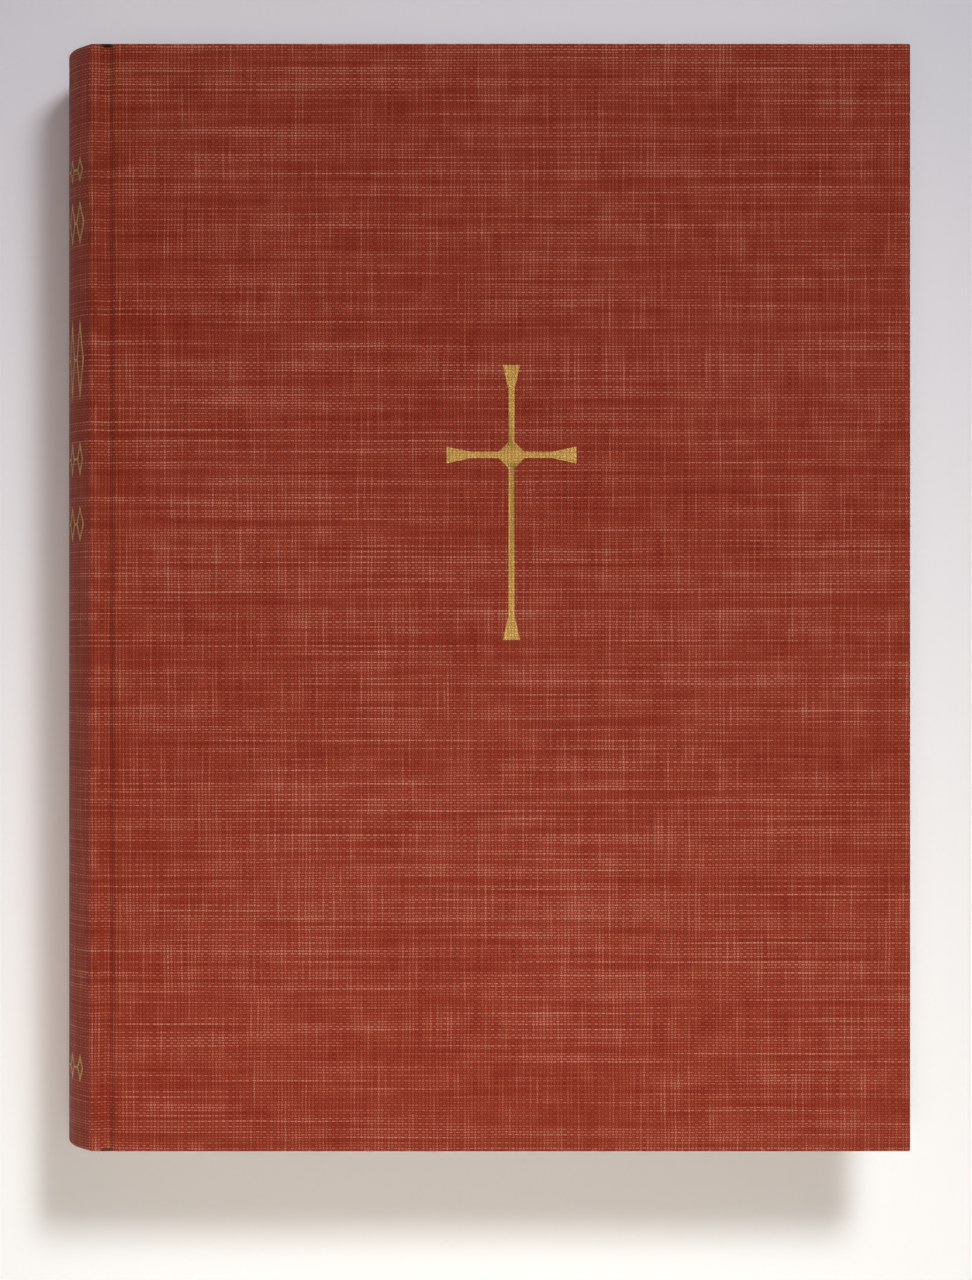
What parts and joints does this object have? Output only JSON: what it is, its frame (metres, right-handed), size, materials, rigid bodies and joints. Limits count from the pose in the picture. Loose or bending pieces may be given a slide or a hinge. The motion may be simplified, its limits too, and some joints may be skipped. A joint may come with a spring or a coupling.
{
  "type": "prayer book",
  "caption": "Closed hardback prayer book in rust-red linen-weave cloth with a rounded spine, a gold cross on the cover, hinged covers and leaves that turn.",
  "frame": {"origin": "middle of the footprint, on the surface that the back cover lies on", "axes": "+X from the spine to the fore-edge, +Y from tail to head, +Z from the back cover to the front cover"},
  "size_m": [0.17, 0.2216, 0.032],
  "materials": {
    "cloth": "matt",
    "board": "matt",
    "card": "matt",
    "paper": "matt",
    "mull": "matt",
    "thread": "matt",
    "band": "satin",
    "foil": "satin"
  },
  "bodies": {
    "text_block": {"gathering_01": "paper", "gathering_02": "paper", "gathering_03": "paper", "gathering_04": "paper", "gathering_05": "paper", "gathering_06": "paper", "gathering_07": "paper", "gathering_08": "paper", "gathering_09": "paper", "gathering_10": "paper", "gathering_11": "paper", "gathering_12": "paper", "gathering_13": "paper", "gathering_14": "paper", "sewing_thread_1": "thread", "sewing_thread_2": "thread", "sewing_thread_3": "thread", "sewing_thread_4": "thread", "sewing_thread_5": "thread", "mull_spine": "mull", "spine_lining_paper": "card", "headband": "band", "tailband": "band", "spine_inlay": "card", "spine_cloth": "cloth"},
    "front_cover": {"front_board": "board", "front_cover_cloth": "cloth", "front_mull_flange": "mull", "front_pastedown": "paper", "front_cross_foil": "foil"},
    "back_cover": {"back_board": "board", "back_cover_cloth": "cloth", "back_mull_flange": "mull", "back_pastedown": "paper"},
    "front_free_endpaper": {"front_free_endpaper": "paper"},
    "front_leaf_1": {"front_leaf_1": "paper"},
    "front_leaf_2": {"front_leaf_2": "paper"},
    "front_leaf_3": {"front_leaf_3": "paper"},
    "front_leaf_4": {"front_leaf_4": "paper"},
    "front_leaf_5": {"front_leaf_5": "paper"},
    "back_free_endpaper": {"back_free_endpaper": "paper"},
    "back_leaf_1": {"back_leaf_1": "paper"},
    "back_leaf_2": {"back_leaf_2": "paper"},
    "back_leaf_3": {"back_leaf_3": "paper"},
    "back_leaf_4": {"back_leaf_4": "paper"},
    "back_leaf_5": {"back_leaf_5": "paper"}
  },
  "joints": [
    {"name": "front_cover_hinge", "type": "hinge", "parent": "text_block", "child": "front_cover", "pos_m": [-0.0785, 0, 0.02875], "axis": [0, -1, 0], "range_deg": [0, 180]},
    {"name": "front_free_endpaper_turn", "type": "hinge", "parent": "text_block", "child": "front_free_endpaper", "pos_m": [-0.0785, 0, 0.02875], "axis": [0, -1, 0], "range_deg": [0, 175.1]},
    {"name": "front_leaf_1_turn", "type": "hinge", "parent": "text_block", "child": "front_leaf_1", "pos_m": [-0.0785, 0, 0.02875], "axis": [0, -1, 0], "range_deg": [0, 158.9]},
    {"name": "front_leaf_2_turn", "type": "hinge", "parent": "text_block", "child": "front_leaf_2", "pos_m": [-0.0785, 0, 0.02875], "axis": [0, -1, 0], "range_deg": [0, 126.5]},
    {"name": "front_leaf_3_turn", "type": "hinge", "parent": "text_block", "child": "front_leaf_3", "pos_m": [-0.0785, 0, 0.02875], "axis": [0, -1, 0], "range_deg": [0, 90.5]},
    {"name": "front_leaf_4_turn", "type": "hinge", "parent": "text_block", "child": "front_leaf_4", "pos_m": [-0.0785, 0, 0.02875], "axis": [0, -1, 0], "range_deg": [0, 52.7]},
    {"name": "front_leaf_5_turn", "type": "hinge", "parent": "text_block", "child": "front_leaf_5", "pos_m": [-0.0785, 0, 0.02875], "axis": [0, -1, 0], "range_deg": [0, 20.3]},
    {"name": "back_cover_hinge", "type": "hinge", "parent": "text_block", "child": "back_cover", "pos_m": [-0.0785, 0, 0.00325], "axis": [0, 1, 0], "range_deg": [0, 180]},
    {"name": "back_free_endpaper_turn", "type": "hinge", "parent": "text_block", "child": "back_free_endpaper", "pos_m": [-0.0785, 0, 0.00325], "axis": [0, 1, 0], "range_deg": [0, 175.1]},
    {"name": "back_leaf_1_turn", "type": "hinge", "parent": "text_block", "child": "back_leaf_1", "pos_m": [-0.0785, 0, 0.00325], "axis": [0, 1, 0], "range_deg": [0, 158.9]},
    {"name": "back_leaf_2_turn", "type": "hinge", "parent": "text_block", "child": "back_leaf_2", "pos_m": [-0.0785, 0, 0.00325], "axis": [0, 1, 0], "range_deg": [0, 126.5]},
    {"name": "back_leaf_3_turn", "type": "hinge", "parent": "text_block", "child": "back_leaf_3", "pos_m": [-0.0785, 0, 0.00325], "axis": [0, 1, 0], "range_deg": [0, 90.5]},
    {"name": "back_leaf_4_turn", "type": "hinge", "parent": "text_block", "child": "back_leaf_4", "pos_m": [-0.0785, 0, 0.00325], "axis": [0, 1, 0], "range_deg": [0, 52.7]},
    {"name": "back_leaf_5_turn", "type": "hinge", "parent": "text_block", "child": "back_leaf_5", "pos_m": [-0.0785, 0, 0.00325], "axis": [0, 1, 0], "range_deg": [0, 20.3]}
  ],
  "couplings": [
    {"joint": "front_free_endpaper_turn", "follows": "front_cover_hinge", "ratio": 0.97},
    {"joint": "front_leaf_1_turn", "follows": "front_cover_hinge", "ratio": 0.88},
    {"joint": "front_leaf_2_turn", "follows": "front_cover_hinge", "ratio": 0.7},
    {"joint": "front_leaf_3_turn", "follows": "front_cover_hinge", "ratio": 0.5},
    {"joint": "front_leaf_4_turn", "follows": "front_cover_hinge", "ratio": 0.29},
    {"joint": "front_leaf_5_turn", "follows": "front_cover_hinge", "ratio": 0.11},
    {"joint": "back_free_endpaper_turn", "follows": "back_cover_hinge", "ratio": 0.97},
    {"joint": "back_leaf_1_turn", "follows": "back_cover_hinge", "ratio": 0.88},
    {"joint": "back_leaf_2_turn", "follows": "back_cover_hinge", "ratio": 0.7},
    {"joint": "back_leaf_3_turn", "follows": "back_cover_hinge", "ratio": 0.5},
    {"joint": "back_leaf_4_turn", "follows": "back_cover_hinge", "ratio": 0.29},
    {"joint": "back_leaf_5_turn", "follows": "back_cover_hinge", "ratio": 0.11}
  ]
}
